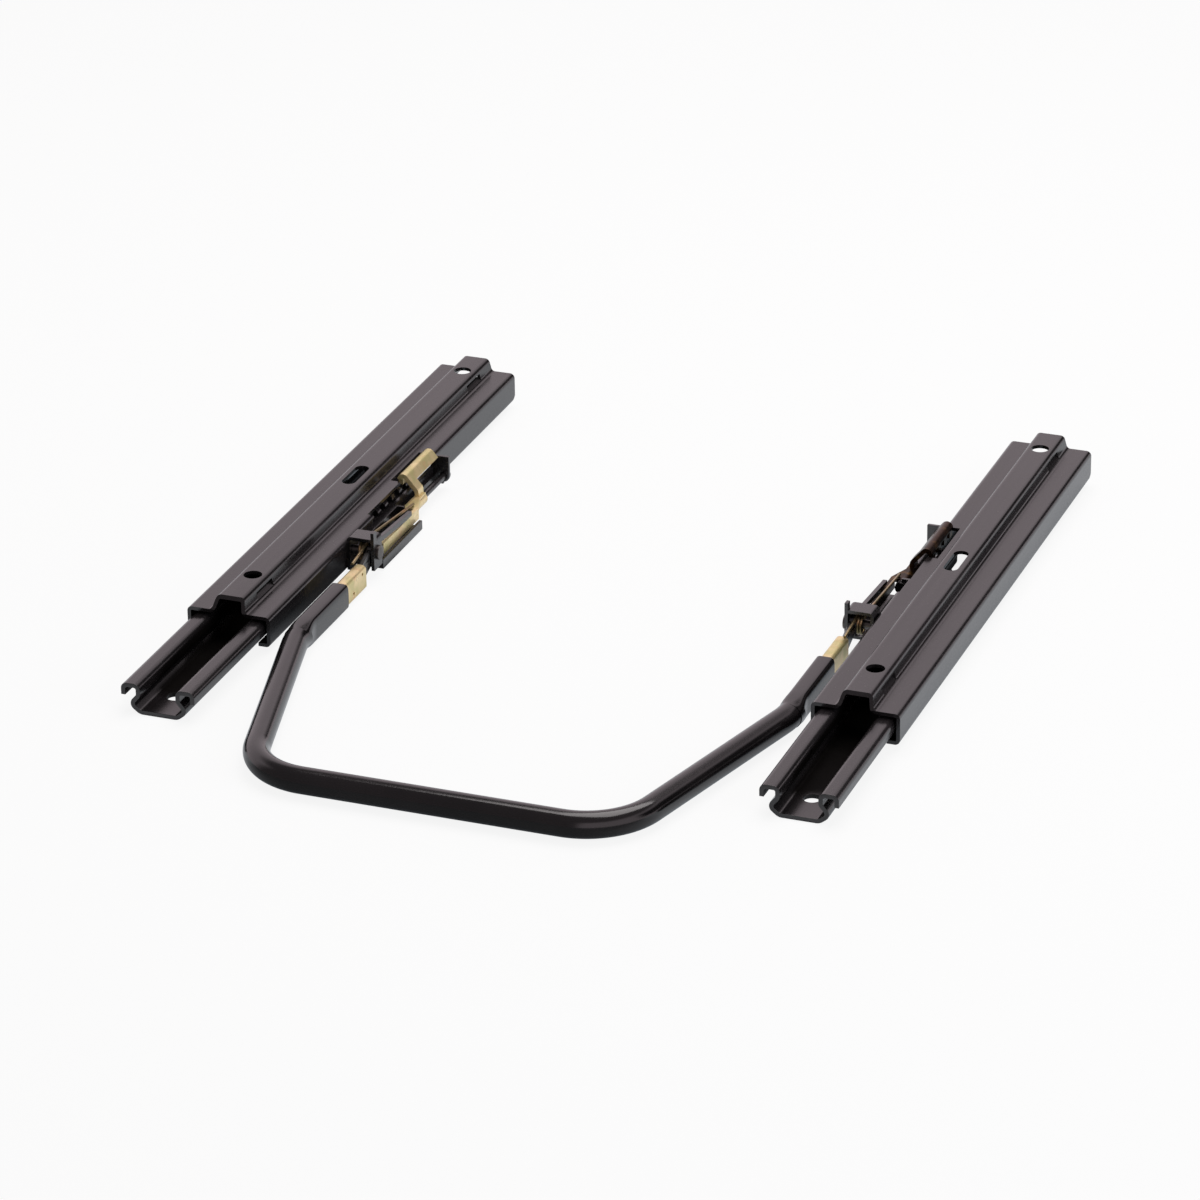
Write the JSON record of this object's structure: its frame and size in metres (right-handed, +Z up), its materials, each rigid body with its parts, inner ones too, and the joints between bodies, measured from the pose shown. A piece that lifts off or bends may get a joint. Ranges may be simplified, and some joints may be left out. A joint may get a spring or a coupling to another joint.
{
  "type": "seat slide rail",
  "caption": "Mirrored seat slide rails with nested upper and lower channels, toothed lock latches and a U-shaped front bar that is lifted to free the slide.",
  "frame": {"origin": "on the floor under the middle of the whole part's box", "axes": "+X from the left rail to the right rail, +Y to the rear along the rails, +Z up"},
  "size_m": [0.3944, 0.5, 0.0277],
  "materials": {
    "rail_paint": "satin",
    "bar_paint": "gloss",
    "bracket_paint": "satin",
    "yellow_zinc": "satin",
    "pin_steel": "satin",
    "spring_steel": "satin",
    "roller_steel": "polished",
    "spacer_plastic": "matte"
  },
  "bodies": {
    "floor_rails": {"left_lower_rail": "rail_paint", "right_lower_rail": "rail_paint"},
    "left_seat_rail": {"left_upper_rail": "rail_paint", "left_latch_pin": "bracket_paint", "left_hinge_bracket": "bracket_paint", "left_pivot_bracket": "bracket_paint", "left_pivot_pin": "pin_steel", "left_return_spring": "spring_steel"},
    "left_bearings": {"left_rollers": "roller_steel", "left_balls": "roller_steel", "left_ball_spacers": "spacer_plastic"},
    "left_latch": {"left_lock_latch": "yellow_zinc"},
    "right_seat_rail": {"right_upper_rail": "rail_paint", "right_latch_pin": "bracket_paint", "right_hinge_bracket": "bracket_paint", "right_pivot_bracket": "bracket_paint", "right_pivot_pin": "pin_steel", "right_return_spring": "spring_steel"},
    "right_bearings": {"right_rollers": "roller_steel", "right_balls": "roller_steel", "right_ball_spacers": "spacer_plastic"},
    "right_latch": {"right_lock_latch": "yellow_zinc"},
    "release": {"release_bar": "bar_paint", "left_release_lever": "yellow_zinc", "left_push_arm": "bracket_paint", "right_release_lever": "yellow_zinc", "right_push_arm": "bracket_paint"}
  },
  "joints": [
    {"name": "left_slide", "type": "slide", "parent": "floor_rails", "child": "left_seat_rail", "axis": [0, 1, 0], "range_m": [-0.17, 0]},
    {"name": "left_bearing_slide", "type": "slide", "parent": "floor_rails", "child": "left_bearings", "axis": [0, 1, 0], "range_m": [-0.085, 0]},
    {"name": "right_slide", "type": "slide", "parent": "floor_rails", "child": "right_seat_rail", "axis": [0, 1, 0], "range_m": [-0.17, 0]},
    {"name": "right_bearing_slide", "type": "slide", "parent": "floor_rails", "child": "right_bearings", "axis": [0, 1, 0], "range_m": [-0.085, 0]},
    {"name": "bar_lift", "type": "hinge", "parent": "left_seat_rail", "child": "release", "pos_m": [-0.13675, 0.008, 0.014], "axis": [-1, 0, 0], "range_deg": [-2, 2], "stiffness_Nm_per_rad": 1, "springref_deg": -2, "deforming": ["left_return_spring", "right_return_spring"]},
    {"name": "left_latch_turn", "type": "hinge", "parent": "left_seat_rail", "child": "left_latch", "pos_m": [-0.14395, 0.074, 0.0085], "axis": [0, 1, 0], "range_deg": [-15, 15]},
    {"name": "right_latch_turn", "type": "hinge", "parent": "right_seat_rail", "child": "right_latch", "pos_m": [0.14395, 0.074, 0.0085], "axis": [0, -1, 0], "range_deg": [-15, 15]}
  ],
  "couplings": [
    {"joint": "right_slide", "follows": "left_slide", "ratio": 1},
    {"joint": "left_bearing_slide", "follows": "left_slide", "ratio": 0.5},
    {"joint": "right_bearing_slide", "follows": "left_slide", "ratio": 0.5},
    {"joint": "left_latch_turn", "follows": "bar_lift", "ratio": 7.5},
    {"joint": "right_latch_turn", "follows": "bar_lift", "ratio": 7.5}
  ]
}
